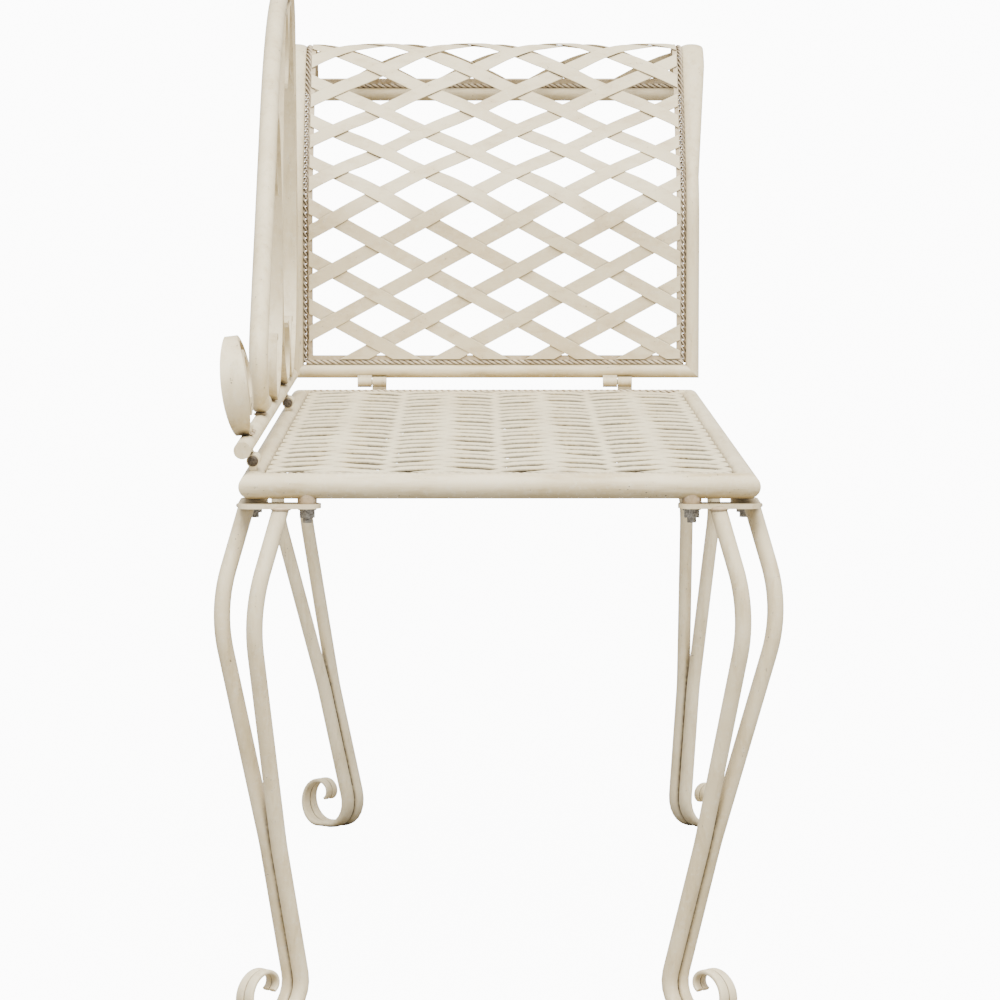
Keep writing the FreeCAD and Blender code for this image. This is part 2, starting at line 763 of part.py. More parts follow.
def build():
    nodes = {
        "seat_foot_rail": seat_end_rail(-1),
        "seat_head_rail": seat_end_rail(1),
        "seat_back_rail": seat_side_rail(1),
        "seat_front_rail": seat_side_rail(-1),
        "seat_edge_bars": group(seat_edges(bar_in, square_bar, edge_bar, edge_bar / 2)),
        "seat_twist_trim": group(seat_edges(trim_in, trim_bar, trim_wire, 0.0)),
    }
    for name, lattices in (("seat", seat_lattice()), ("rest", rest_lattice())):
        nodes[name + "_strips_rising"] = group(lattices[0])
        nodes[name + "_strips_falling"] = group(lattices[1])
    corners = {"foot_back": (-1, 1), "foot_front": (-1, -1), "head_back": (1, 1), "head_front": (1, -1)}
    places = []
    for name, sides in corners.items():
        nodes["leg_rods_" + name] = group(leg_rods(*sides, leg_tucks[name]))
        nodes["leg_plate_" + name] = leg_plate(*sides)
        places += stud_places(*sides)
    fasteners = {"saddles": leg_saddle, "studs": leg_stud, "washers": leg_washer, "nuts": leg_nut}
    for name, maker in fasteners.items():
        nodes["leg_" + name] = group([maker(*place) for place in places])
    for panel, hinges in (("back", back_hinges()), ("rest", rest_hinges())):
        for index, name in enumerate(("seat_barrels", "pins", "panel_barrels")):
            nodes[panel + "_hinge_" + name] = group([pieces[index] for pieces in hinges])
    nodes.update({
        "rest_bottom_bar": rest_bottom_bar(),
        "rest_roll_bar": rest_cross_bar(rest_path.length, panel_tube, rest_inner, tube_wall),
        "rest_back_rail": rest_side_rail(1),
        "rest_front_rail": rest_side_rail(-1),
        "rest_edge_bars": group(rest_edge_bars()),
        "rest_twist_trim": group(rest_trim()),
        "back_rail": back_rail(),
        "back_rail_caps": group(back_rail_caps()),
        "back_top_tube": back_top_tube(),
        "back_volute": back_volute(),
        "back_scroll_foot": lyre_scroll(pair_x - scroll_thick / 2, -1),
        "back_scroll_head": lyre_scroll(pair_x + scroll_thick / 2, 1),
        "back_scroll_post": post_scroll(),
    })
    return nodes


# The origin is on the floor, midway between the furthest points of the bench
nodes = build()
box = Part.makeCompound(list(nodes.values())).optimalBoundingBox(False, False)
shift = Vector(-(box.XMin + box.XMax) / 2, -(box.YMin + box.YMax) / 2, 0)
os.makedirs("parts", exist_ok=True)
for name, shape in nodes.items():
    placed = shape.copy()
    placed.translate(shift)
    placed.exportStep("parts/" + name + ".step")
print("origin moved by", shift, "box", box)
print("hinge axes: back y", tube_y + shift.y, "rest x", tube_x + shift.x, "height", hinge_z)
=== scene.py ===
import math

import bpy
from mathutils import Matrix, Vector


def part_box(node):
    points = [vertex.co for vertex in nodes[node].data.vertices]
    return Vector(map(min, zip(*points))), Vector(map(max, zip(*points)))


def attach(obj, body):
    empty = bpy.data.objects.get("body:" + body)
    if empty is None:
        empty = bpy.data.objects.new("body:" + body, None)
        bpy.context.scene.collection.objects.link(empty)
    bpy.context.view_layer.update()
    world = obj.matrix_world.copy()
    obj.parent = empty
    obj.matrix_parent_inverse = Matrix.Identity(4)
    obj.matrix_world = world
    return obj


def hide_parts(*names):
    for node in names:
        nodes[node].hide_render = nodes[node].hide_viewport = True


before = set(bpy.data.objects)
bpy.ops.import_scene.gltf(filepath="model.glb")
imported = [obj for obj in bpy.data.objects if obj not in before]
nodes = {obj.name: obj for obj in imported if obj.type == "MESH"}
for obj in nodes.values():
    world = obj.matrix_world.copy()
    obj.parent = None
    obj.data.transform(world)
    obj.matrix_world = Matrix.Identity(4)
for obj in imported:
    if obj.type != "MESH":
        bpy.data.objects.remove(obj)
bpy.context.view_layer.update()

print("frame loaded:", len(nodes), "nodes")


# small helpers

def addObject(name, data):
    item = bpy.data.objects.new(name, data)
    bpy.context.scene.collection.objects.link(item)
    return item


def meshPiece(name, verts, faces, material, body, replaced=(), sharp=60):
    mesh = bpy.data.meshes.new(name)
    mesh.from_pydata([tuple(v) for v in verts], [], faces)
    mesh.validate()
    mesh.update()
    mesh.polygons.foreach_set("use_smooth", [True] * len(mesh.polygons))
    mesh.set_sharp_from_angle(angle=math.radians(sharp))
    mesh.materials.append(material)
    piece = addObject(name, mesh)
    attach(piece, body)
    if replaced:
        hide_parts(*replaced)
    return piece


def loftRings(rings, verts, faces, closedEnds=True):
    first = len(verts)
    count = len(rings[0])
    for ring in rings:
        verts.extend(ring)
    for r in range(len(rings) - 1):
        for k in range(count):
            a = first + r * count + k
            b = first + r * count + (k + 1) % count
            faces.append((a, b, b + count, a + count))
    if closedEnds:
        faces.append(tuple(first + k for k in reversed(range(count))))
        faces.append(tuple(first + (len(rings) - 1) * count + k for k in range(count)))


def smoothStep(x):
    x = min(1.0, max(0.0, x))
    return x * x * (3 - 2 * x)


# materials

def newGroup(name, inputs, outputs):
    group = bpy.data.node_groups.new(name, "ShaderNodeTree")
    for label, kind, value in inputs:
        socket = group.interface.new_socket(label, in_out="INPUT", socket_type=kind)
        socket.default_value = value
    for label, kind in outputs:
        group.interface.new_socket(label, in_out="OUTPUT", socket_type=kind)
    return group, group.nodes.new("NodeGroupInput"), group.nodes.new("NodeGroupOutput")


def noiseNode(tree, place, scale, detail=4.0, roughness=0.55):
    node = tree.nodes.new("ShaderNodeTexNoise")
    node.inputs["Scale"].default_value = scale
    node.inputs["Detail"].default_value = detail
    node.inputs["Roughness"].default_value = roughness
    tree.links.new(place, node.inputs["Vector"])
    return node


def rangeNode(tree, value, low, high, toLow=0.0, toHigh=1.0):
    node = tree.nodes.new("ShaderNodeMapRange")
    node.inputs["From Min"].default_value = low
    node.inputs["From Max"].default_value = high
    node.inputs["To Min"].default_value = toLow
    node.inputs["To Max"].default_value = toHigh
    tree.links.new(value, node.inputs["Value"])
    return node.outputs["Result"]


def mathNode(tree, operation, a, b):
    node = tree.nodes.new("ShaderNodeMath")
    node.operation = operation
    for socket, value in zip(node.inputs, (a, b)):
        if isinstance(value, (int, float)):
            socket.default_value = value
        else:
            tree.links.new(value, socket)
    return node.outputs["Value"]


def mixColour(tree, factor, a, b):
    node = tree.nodes.new("ShaderNodeMix")
    node.data_type = "RGBA"
    for label, value in (("Factor", factor), ("A", a), ("B", b)):
        socket = next(s for s in node.inputs
                      if s.name == label and (label == "Factor" or s.type == "RGBA"))
        if isinstance(value, (int, float, tuple)):
            socket.default_value = value
        else:
            tree.links.new(value, socket)
    return next(s for s in node.outputs if s.type == "RGBA")


# mask for painted shade: 0 where ambient occlusion within the reach is above high, 1 where it falls to low in
# shaded corners and hollows
def hollowShadeMask(tree, reach, low, high):
    corner = tree.nodes.new("ShaderNodeAmbientOcclusion")
    corner.samples = 6
    tree.links.new(reach, corner.inputs["Distance"])
    return rangeNode(tree, corner.outputs["AO"], high, low)


grain = {"drift": 11.0, "streak": 110.0, "brush": 210.0, "speck": 420.0, "spangle": 700.0,
         "rubbed": (0.86, 0.80, 0.68, 1), "chip": (0.07, 0.05, 0.035, 1), "hollowShadeShare": 0.8}


def brushedPaintGroup():
    # hand-brushed cream paint: beige wash streaks and blotches, beige painted shade on undersides and in hollows,
    # dark painted shade, partly real glaze, in corners, dark painted shade on the steep side faces of the seat
    # strips, rare dark chips
    group, inside, outside = newGroup("brushedPaint", [
        ("Paint", "NodeSocketColor", (0.78, 0.70, 0.56, 1)),
        ("Shade And Wash", "NodeSocketColor", (0.55, 0.43, 0.29, 1)),
        ("Shade And Glaze", "NodeSocketColor", (0.10, 0.06, 0.03, 1)),
        ("Shade And Wash Amount", "NodeSocketFloat", 0.5),
        ("Shade And Glaze Amount", "NodeSocketFloat", 0.6),
        ("Chip Amount", "NodeSocketFloat", 0.5),
        ("Corner Shade Reach", "NodeSocketFloat", 0.004),
        ("Hollow Shade Reach", "NodeSocketFloat", 0.016),
        ("Side Face Shade", "NodeSocketFloat", 0.0),
        ("Stroke", "NodeSocketVector", (1, 1, 1)),
    ], [("Colour", "NodeSocketColor"), ("Roughness", "NodeSocketFloat"), ("Height", "NodeSocketFloat")])
    place = group.nodes.new("ShaderNodeTexCoord")
    where = place.outputs["Object"]
    stroke = group.nodes.new("ShaderNodeVectorMath")
    stroke.operation = "MULTIPLY"
    group.links.new(where, stroke.inputs[0])
    group.links.new(inside.outputs["Stroke"], stroke.inputs[1])
    drift = noiseNode(group, where, grain["drift"], 3.0).outputs["Fac"]
    streak = noiseNode(group, stroke.outputs["Vector"], grain["streak"], 4.0, 0.65).outputs["Fac"]
    brush = noiseNode(group, where, grain["brush"], 5.0, 0.65).outputs["Fac"]
    speck = noiseNode(group, where, grain["speck"], 2.0).outputs["Fac"]
    split = group.nodes.new("ShaderNodeSeparateXYZ")
    group.links.new(place.outputs["Normal"], split.inputs[0])
    # painted shade: faces turned down take the beige shade colour, more the further they face the floor
    paintedUnderShade = rangeNode(group, split.outputs["Z"], 0.35, -0.9, 0.0, 0.55)
    # painted shade in hollows: occluded spots take the beige shade colour
    hollowShade = hollowShadeMask(group, inside.outputs["Hollow Shade Reach"], 0.25, 0.9)
    # painted shade in tight corners, partly real glaze: a second, shorter occlusion mask for the dark colour
    corner = hollowShadeMask(group, inside.outputs["Corner Shade Reach"], 0.38, 0.80)
    blotch = rangeNode(group, drift, 0.42, 0.62, 0.0, 0.55)
    worn = rangeNode(group, streak, 0.48, 0.68, 0.0, 0.60)
    hollowShade = mathNode(group, "MULTIPLY", hollowShade, grain["hollowShadeShare"])
    # the beige mix: painted shade of undersides and hollows plus real wash blotches and streaks
    shadeAndWash = mathNode(group, "ADD", hollowShade, mathNode(group, "ADD", paintedUnderShade, blotch))
    shadeAndWash = mathNode(group, "MULTIPLY", mathNode(group, "ADD", shadeAndWash, worn), inside.outputs["Shade And Wash Amount"])
    shadeAndWash = mathNode(group, "MINIMUM", shadeAndWash, 1.0)
    shadedAndWashed = mixColour(group, shadeAndWash, inside.outputs["Paint"], inside.outputs["Shade And Wash"])
    pale = mixColour(group, rangeNode(group, brush, 0.52, 0.72, 0.0, 0.35), shadedAndWashed, grain["rubbed"])
    uneven = rangeNode(group, brush, 0.30, 0.62, 0.35, 1.0)
    # dark painted corner shade with some glaze, broken up by the brush noise
    shadeAndGlaze = mathNode(group, "MULTIPLY", corner, uneven)
    shadeAndGlaze = mathNode(group, "MULTIPLY", shadeAndGlaze, inside.outputs["Shade And Glaze Amount"])
    # painted shade on steep side faces, such as the sides the seat strips turn to the gaps between them
    edge = rangeNode(group, split.outputs["Z"], 0.8, 0.45)
    edge = mathNode(group, "MULTIPLY", edge, inside.outputs["Side Face Shade"])
    shadeAndGlaze = mathNode(group, "MAXIMUM", shadeAndGlaze, mathNode(group, "MULTIPLY", edge, uneven))
    shadedAndGlazed = mixColour(group, shadeAndGlaze, pale, inside.outputs["Shade And Glaze"])
    chips = rangeNode(group, speck, 0.67, 0.71)
    chips = mathNode(group, "MULTIPLY", chips, rangeNode(group, streak, 0.52, 0.60))
    chips = mathNode(group, "MULTIPLY", chips, inside.outputs["Chip Amount"])
    chipped = mixColour(group, chips, shadedAndGlazed, grain["chip"])
    group.links.new(chipped, outside.inputs["Colour"])
    group.links.new(rangeNode(group, brush, 0.3, 0.7, 0.40, 0.55), outside.inputs["Roughness"])
    group.links.new(mathNode(group, "SUBTRACT", brush, chips), outside.inputs["Height"])
    return group


def plainMaterial(name):
    material = bpy.data.materials.new(name)
    material.use_nodes = True
    tree = material.node_tree
    return material, tree, tree.nodes["Principled BSDF"]


def paintMaterial(name, look):
    material, tree, shader = plainMaterial(name)
    group = tree.nodes.new("ShaderNodeGroup")
    group.node_tree = paintGroup
    for label, value in look["group"].items():
        group.inputs[label].default_value = value
    bump = tree.nodes.new("ShaderNodeBump")
    bump.inputs["Strength"].default_value = look["bump"]
    bump.inputs["Distance"].default_value = look["bumpHeight"]
    tree.links.new(group.outputs["Height"], bump.inputs["Height"])
    tree.links.new(group.outputs["Colour"], shader.inputs["Base Color"])
    tree.links.new(group.outputs["Roughness"], shader.inputs["Roughness"])
    tree.links.new(bump.outputs["Normal"], shader.inputs["Normal"])
    shader.inputs["Specular IOR Level"].default_value = look["specular"]
    return material


paintGroup = brushedPaintGroup()


def memberPaint(name, stroke, shadeAndWash, shadeAndGlaze):
    return paintMaterial(name, {
        "group": {"Paint": (0.81, 0.70, 0.47, 1), "Shade And Wash": (0.50, 0.39, 0.20, 1), "Shade And Glaze": (0.05, 0.036, 0.022, 1),
                  "Shade And Wash Amount": shadeAndWash, "Shade And Glaze Amount": shadeAndGlaze, "Chip Amount": 0.9, "Corner Shade Reach": 0.008,
                  "Hollow Shade Reach": 0.022, "Stroke": stroke},
        "bump": 0.30, "bumpHeight": 0.0004, "specular": 0.40})


# third number: amount of beige painted shade and wash, fourth: amount of dark painted corner shade and glaze; the
# cross tubes take the most beige for a darker painted underside
uprightPaint = memberPaint("uprightPaint", (1, 1, 0.16), 0.60, 1.0)
lengthPaint = memberPaint("lengthPaint", (0.12, 1, 1), 0.60, 0.60)
crossPaint = memberPaint("crossPaint", (1, 0.12, 1), 0.78, 0.55)
stripPaint = paintMaterial("stripPaint", {
    "group": {"Paint": (0.81, 0.70, 0.465, 1), "Shade And Wash": (0.50, 0.38, 0.20, 1), "Shade And Glaze": (0.06, 0.04, 0.022, 1),
              "Shade And Wash Amount": 0.50, "Shade And Glaze Amount": 1.0, "Chip Amount": 0.7, "Corner Shade Reach": 0.0055,
              "Hollow Shade Reach": 0.014, "Stroke": (1, 0.4, 1)},
    "bump": 0.25, "bumpHeight": 0.0003, "specular": 0.40})
# seat strip paint; its side-face value gives painted shade on the steep side faces of the strips
seatPaint = paintMaterial("seatPaint", {
    "group": {"Paint": (0.87, 0.76, 0.51, 1), "Shade And Wash": (0.52, 0.42, 0.25, 1), "Shade And Glaze": (0.050, 0.043, 0.032, 1),
              "Shade And Wash Amount": 0.46, "Shade And Glaze Amount": 1.0, "Chip Amount": 0.6, "Corner Shade Reach": 0.011,
              "Hollow Shade Reach": 0.018, "Side Face Shade": 0.62, "Stroke": (1, 0.4, 1)},
    "bump": 0.25, "bumpHeight": 0.0003, "specular": 0.40})
wirePaint = paintMaterial("wirePaint", {
    "group": {"Paint": (0.76, 0.65, 0.46, 1), "Shade And Wash": (0.42, 0.31, 0.18, 1), "Shade And Glaze": (0.045, 0.032, 0.020, 1),
              "Shade And Wash Amount": 0.55, "Shade And Glaze Amount": 1.0, "Chip Amount": 0.4, "Corner Shade Reach": 0.0060,
              "Hollow Shade Reach": 0.008},
    "bump": 0.20, "bumpHeight": 0.0002, "specular": 0.35})
# dark paint for painted shade in the grooves between wire strands
grooveShadePaint = paintMaterial("grooveShadePaint", {
    "group": {"Paint": (0.50, 0.40, 0.27, 1), "Shade And Wash": (0.28, 0.21, 0.13, 1), "Shade And Glaze": (0.08, 0.058, 0.036, 1),
              "Shade And Wash Amount": 0.50, "Shade And Glaze Amount": 0.75, "Chip Amount": 0.3, "Corner Shade Reach": 0.0040,
              "Hollow Shade Reach": 0.008},
    "bump": 0.20, "bumpHeight": 0.0002, "specular": 0.30})
# darker paint on the edge bars: painted shade showing in the gaps between the strip ends
barShadePaint = paintMaterial("barShadePaint", {
    "group": {"Paint": (0.62, 0.51, 0.33, 1), "Shade And Wash": (0.34, 0.24, 0.12, 1), "Shade And Glaze": (0.05, 0.03, 0.016, 1),
              "Shade And Wash Amount": 0.70, "Shade And Glaze Amount": 1.0, "Chip Amount": 0.6, "Corner Shade Reach": 0.006,
              "Hollow Shade Reach": 0.014},
    "bump": 0.25, "bumpHeight": 0.0003, "specular": 0.35})
# brown of the weld beads; on the leg saddles it is painted shade between the seat tube and the leg plate
weldAndSaddleShadePaint = paintMaterial("weldAndSaddleShadePaint", {
    "group": {"Paint": (0.58, 0.46, 0.30, 1), "Shade And Wash": (0.34, 0.24, 0.13, 1), "Shade And Glaze": (0.07, 0.045, 0.025, 1),
              "Shade And Wash Amount": 0.80, "Shade And Glaze Amount": 1.0, "Chip Amount": 0.6, "Corner Shade Reach": 0.006,
              "Hollow Shade Reach": 0.010},
    "bump": 0.50, "bumpHeight": 0.0006, "specular": 0.30})


def zincMaterial(name, look):
    material, tree, shader = plainMaterial(name)
    where = tree.nodes.new("ShaderNodeTexCoord").outputs["Object"]
    spangle = noiseNode(tree, where, grain["spangle"], 3.0).outputs["Fac"]
    colour = mixColour(tree, rangeNode(tree, spangle, 0.35, 0.7), look["colour"], look["dark"])
    tree.links.new(colour, shader.inputs["Base Color"])
    tree.links.new(rangeNode(tree, spangle, 0.3, 0.7, 0.35, 0.6), shader.inputs["Roughness"])
    shader.inputs["Metallic"].default_value = look["metal"]
    return material


dullZinc = zincMaterial("dullZinc", {
    "colour": (0.42, 0.395, 0.35, 1), "dark": (0.11, 0.097, 0.08, 1), "metal": 0.8})
agedPin = zincMaterial("agedPin", {
    "colour": (0.13, 0.105, 0.08, 1), "dark": (0.045, 0.034, 0.024, 1), "metal": 0.6})
finishes = ((agedPin, ("back_hinge_pins", "rest_hinge_pins")),
            (dullZinc, ("leg_nuts", "leg_studs", "leg_washers")),
            # the saddles take the weld brown as painted shade between the seat tube and the leg plate
            (weldAndSaddleShadePaint, ("leg_saddles",)),
            (barShadePaint, ("seat_edge_bars", "rest_edge_bars")),
            (crossPaint, ("seat_foot_rail", "seat_head_rail", "rest_bottom_bar", "rest_roll_bar")),
            (lengthPaint, ("seat_front_rail", "seat_back_rail", "back_rail", "leg_plate_foot_back",
                           "leg_plate_foot_front", "leg_plate_head_back", "leg_plate_head_front")))
finishOf = {name: finish for finish, names in finishes for name in names}
for name, node in nodes.items():
    node.data.materials.clear()
    node.data.materials.append(finishOf.get(name, uprightPaint))
print("finishes done")


# end rest profile, the line that its rails, wires and lattice follow

restShape = {"upright": 0.160, "lean": math.radians(36), "bendRadius": 0.090, "rollRadius": 0.052,
             "railThin": 0.009}


def restLine():
    low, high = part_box("rest_bottom_bar")
    start = ((low.x + high.x) / 2, (low.z + high.z) / 2)
    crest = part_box("rest_back_rail")[1].z - restShape["railThin"] / 2
    lean, bend, roll = restShape["lean"], restShape["bendRadius"], restShape["rollRadius"]
    bendTop = start[1] + restShape["upright"] + bend * math.sin(lean)
    rollTop = roll * (1 - math.sin(lean))
    leaning = (crest - rollTop - bendTop) / math.cos(lean)
    return start, [(restShape["upright"], 0.0), (bend * lean, -1 / bend),
                   (leaning, 0.0), (roll * (math.pi - lean), -1 / roll)]


restStart, restPieces = restLine()
restLength = sum(length for length, curve in restPieces)


def restAt(distance, left=0.0):
    x, z = restStart
    heading = math.pi / 2
    for number, (length, curve) in enumerate(restPieces):
        last = number == len(restPieces) - 1
        step = distance if last or distance < length else length
        turned = heading + curve * step
        if curve:
            x += (math.sin(turned) - math.sin(heading)) / curve
            z += (math.cos(heading) - math.cos(turned)) / curve
        else:
            x += step * math.cos(heading)
            z += step * math.sin(heading)
        heading = turned
        distance -= step
        if distance <= 0:
            break
    return x - left * math.sin(heading), z + left * math.cos(heading), heading


# woven lattice

weave = {"rows": 8, "width": 0.0155, "firm": 1.4, "lap": 0.0015, "edge": 0.0004, "edgeShare": 0.4, "crown": 1.03,
         "stepsPerRow": 12, "endFade": 0.014, "overBar": 0.0012, "overRoundBar": 0.0013, "wobble": 0.4,
         "stray": 0.0014, "sharp": 25,
         "seat": {"columns": 42, "thick": 0.0021, "rise": 0.0012, "roll": math.radians(2.0), "sideLap": 0.0060},
         "rest": {"columns": 17, "thick": 0.0012, "rise": 0.0010, "roll": 0.0, "sideLap": 0.0015}}


def handWobble(number):
    # a repeatable value from -1 to 1 for each strip, weld or bead, as handwork differs from piece to piece
    return math.sin(12.9898 * number + 4.1) * math.cos(7.233 * number + 1.7)


def wovenStrips(name, surface, begin, end, middleY, span, panel, sign, material, body, replaced):
    rows, columns = weave["rows"], panel["columns"]
    pitch = (end - begin) / columns
    rowPitch = span / rows
    slope = sign * pitch / rowPitch
    angle = math.atan(abs(slope))
    half = weave["width"] / 2 / math.cos(angle)
    edge = weave["edge"] / math.cos(angle)
    thick = panel["thick"] / 2
    low = weave["edgeShare"] * thick
    section = [(-half, -low), (-half, low), (-half + edge, thick), (0.0, weave["crown"] * thick),
               (half - edge, thick), (half, low), (half, -low), (half - edge, -thick), (-half + edge, -thick)]
    lean = math.tan(panel["roll"])
    verts, faces = [], []
    numbers = range(2 - rows, columns, 2) if sign > 0 else range(0, columns + rows - 1, 2)
    side = span / 2 + panel["sideLap"]
    for number in numbers:
        first = begin + (number + (0 if sign > 0 else 1)) * pitch
        first += weave["stray"] * handWobble(3 * number + 20 * sign)
        lively = panel["rise"] * (1 + weave["wobble"] * handWobble(number + 50 * sign))

        def reach(offset):
            ends = sorted((limit - offset - first) / slope - span / 2
                          for limit in (begin - weave["lap"], end + weave["lap"]))
            return max(ends[0], -side), min(ends[1], side)

        middle = reach(0.0)
        steps = max(4, round((middle[1] - middle[0]) / rowPitch * weave["stepsPerRow"]))
        rings = []
        for step in range(steps + 1):
            ring = []
            for offset, lift in section:
                y0, y1 = reach(offset)
                y = y0 + (y1 - y0) * step / steps
                s = first + slope * (y + span / 2) + offset
                wave = math.cos(math.pi * ((y + span / 2) / rowPitch - 0.5))
                level = sign * lively * math.tanh(weave["firm"] * wave) / math.tanh(weave["firm"])
                room = min(s - begin, end - s) / weave["endFade"]
                x, z = surface(s, (level + offset * lean) * smoothStep(room) + lift)
                ring.append((x, middleY + y, z))
            rings.append(ring)
        loftRings(rings, verts, faces)
    meshPiece(name, verts, faces, material, body, replaced, sharp=weave["sharp"])


def seatLattice():
    low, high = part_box("seat_edge_bars")
    bar = high.z - low.z
    xStart = low.x + bar / 2
    length = high.x - low.x - bar
    level = high.z + weave["overBar"]

    def surface(s, lift):
        return xStart + s, level + lift

    for sign, name in ((1, "seat_strips_rising"), (-1, "seat_strips_falling")):
        wovenStrips("woven_" + name, surface, 0.0, length, (low.y + high.y) / 2, high.y - low.y - bar,
                    weave["seat"], sign, seatPaint, "seat", (name,))


def restLattice():
    low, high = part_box("rest_edge_bars")
    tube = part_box("rest_bottom_bar")
    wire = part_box("rest_twist_trim")
    bar = wire[1].y - high.y
    first = (tube[1].z - tube[0].z) / 2 + bar + bar / 2
    base = bar / 2 + weave["overRoundBar"]

    def surface(s, lift):
        return restAt(s, base + lift)[:2]

    for sign, name in ((1, "rest_strips_rising"), (-1, "rest_strips_falling")):
        wovenStrips("woven_" + name, surface, first, restLength - first, (low.y + high.y) / 2,
                    high.y - low.y - bar, weave["rest"], sign, stripPaint, "end_rest", (name,))


seatLattice()
restLattice()
print("lattice woven")


# twisted wire trim, strands laid round each other

twist = {"strand": 0.00160, "strands": 4, "lay": 0.028, "sides": 7, "stepsPerTurn": 14, "farProud": 0.0012,
         "nearSunk": 0.0002, "sideSunk": 0.0012}
twist["ring"] = twist["strand"] / math.sin(math.pi / twist["strands"])


def twistStrands(line, length, sideways, verts, faces):
    steps = max(8, round(length / twist["lay"] * twist["stepsPerTurn"]))
    tilt = math.atan(2 * math.pi * twist["ring"] / twist["lay"])
    for strand in range(twist["strands"]):
        rings = []
        for step in range(steps + 1):
            distance = length * step / steps
            point, out = line(distance)
            turn = 2 * math.pi * (strand / twist["strands"] + distance / twist["lay"])
            radial = math.cos(turn) * out + math.sin(turn) * sideways
            centre = point + twist["ring"] * radial
            along = out.cross(sideways)
            wrap = math.cos(turn) * sideways - math.sin(turn) * out
            flat = math.cos(tilt) * wrap - math.sin(tilt) * along
            ring = []
            for k in range(twist["sides"]):
                a = 2 * math.pi * k / twist["sides"]
                ring.append(centre + twist["strand"] * (math.cos(a) * radial + math.sin(a) * flat))
            rings.append(ring)
        loftRings(rings, verts, faces)


def wirePiece(name, verts, faces, body, replaced):
    # the strand faces turned to the neighbouring strands take a dark painted shade for the grooves between them;
    # the outermost pair of faces keeps the paler wire paint
    piece = meshPiece(name, verts, faces, wirePaint, body, replaced)
    piece.data.materials.append(grooveShadePaint)
    for polygon in piece.data.polygons:
        if len(polygon.vertices) == 4:
            polygon.material_index = int(all(v % twist["sides"] for v in polygon.vertices))


def straightLine(start, end):
    along = (end - start).normalized()
    out = Vector((0, 0, 1))
    return lambda distance: (start + along * distance, out), (end - start).length, along.cross(out)


def seatWires():
    low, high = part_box("seat_twist_trim")
    r = (high.z - low.z) / 2
    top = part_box("seat_head_rail")[1].z - twist["ring"] - twist["strand"]
    side = low.z + r - twist["sideSunk"]
    levels = [side, top + twist["farProud"], side, top - twist["nearSunk"]]
    verts, faces = [], []
    corners = [(low.x + r, low.y + r), (high.x - r, low.y + r), (high.x - r, high.y - r), (low.x + r, high.y - r)]
    for a, b, level in zip(corners, corners[1:] + corners[:1], levels):
        twistStrands(*straightLine(Vector((*a, level)), Vector((*b, level))), verts, faces)
    wirePiece("twisted_seat_wire", verts, faces, "seat", ("seat_twist_trim",))


def restWires():
    low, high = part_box("rest_twist_trim")
    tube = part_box("rest_bottom_bar")
    r = (high.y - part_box("rest_edge_bars")[1].y) / 2
    first = (tube[1].z - tube[0].z) / 2 + r
    verts, faces = [], []
    sideways = Vector((0, 1, 0))
    for y in (low.y + r, high.y - r):
        def line(distance, y=y):
            x, z, heading = restAt(first + distance)
            return Vector((x, y, z)), Vector((-math.sin(heading), 0, math.cos(heading)))
        twistStrands(line, restLength - 2 * first, sideways, verts, faces)
    for distance in (first, restLength - first):
        x, z, heading = restAt(distance)
        ends = [Vector((x, y, z)) for y in (low.y + r, high.y - r)]
        twistStrands(*straightLine(*ends), verts, faces)
    wirePiece("twisted_rest_wire", verts, faces, "end_rest", ("rest_twist_trim",))


seatWires()
restWires()
print("wires twisted")


# legs of two bent rods, forged flat towards the curl of the foot

leg = {"rod": 0.0145, "inset": 0.010, "spreadTop": 0.0155, "spreadFoot": 0.0053, "splay": math.radians(22),
       "draw": 0.057, "tucks": {"foot_back": 0.054, "foot_front": 0.081, "head_back": 0.079, "head_front": 0.027},
       "knee": 0.366, "kneeRadius": 0.120, "ankle": 0.158, "ankleRadius": 0.300, "heelRadius": 0.0295,
       "reach": {"foot_back": 0.046, "foot_front": 0.049, "head_back": 0.056, "head_front": 0.046},
       "aim": {"foot_back": 43, "foot_front": 46, "head_back": 45, "head_front": 46},
       "curls": {"foot_back": 0.0222, "foot_front": 0.0220, "head_back": 0.0240, "head_front": 0.0215},
       "footFlat": 0.0006, "flatRun": 1.6, "toeThick": 0.0052, "tipThick": 0.0034, "square": 0.45,
       "tipNarrow": 0.45, "narrowBy": 0.75, "tipShrink": 0.38, "shrinkPace": 1.6, "openTurn": math.radians(130),
       "curlTurn": math.radians(325), "curlStep": math.radians(9), "sides": 16, "step": 0.007,
       "bead": 0.0019, "beadSides": 8, "beadWobble": 0.22}


def bentLine(points, radii):
    # points along a line whose corners are rounded by the radii
    places = [points[0]]

    def runTo(target):
        start = places[-1]
        count = max(1, round((target - start).length / leg["step"]))
        places.extend(start.lerp(target, k / count) for k in range(1, count + 1))

    for before, corner, after, radius in zip(points, points[1:], points[2:], radii):
        back, ahead = (before - corner).normalized(), (after - corner).normalized()
        half = back.angle(ahead) / 2
        runTo(corner + back * radius / math.tan(half))
        centre = corner + (back + ahead).normalized() * radius / math.sin(half)
        spoke = places[-1] - centre
        turn = math.pi - 2 * half
        axis = back.cross(ahead).normalized()
        count = max(3, round(radius * turn / leg["step"]))
        for k in range(1, count + 1):
            swing = -turn * k / count
            places.append(centre + spoke * math.cos(swing) + axis.cross(spoke) * math.sin(swing))
    runTo(points[-1])
    return places


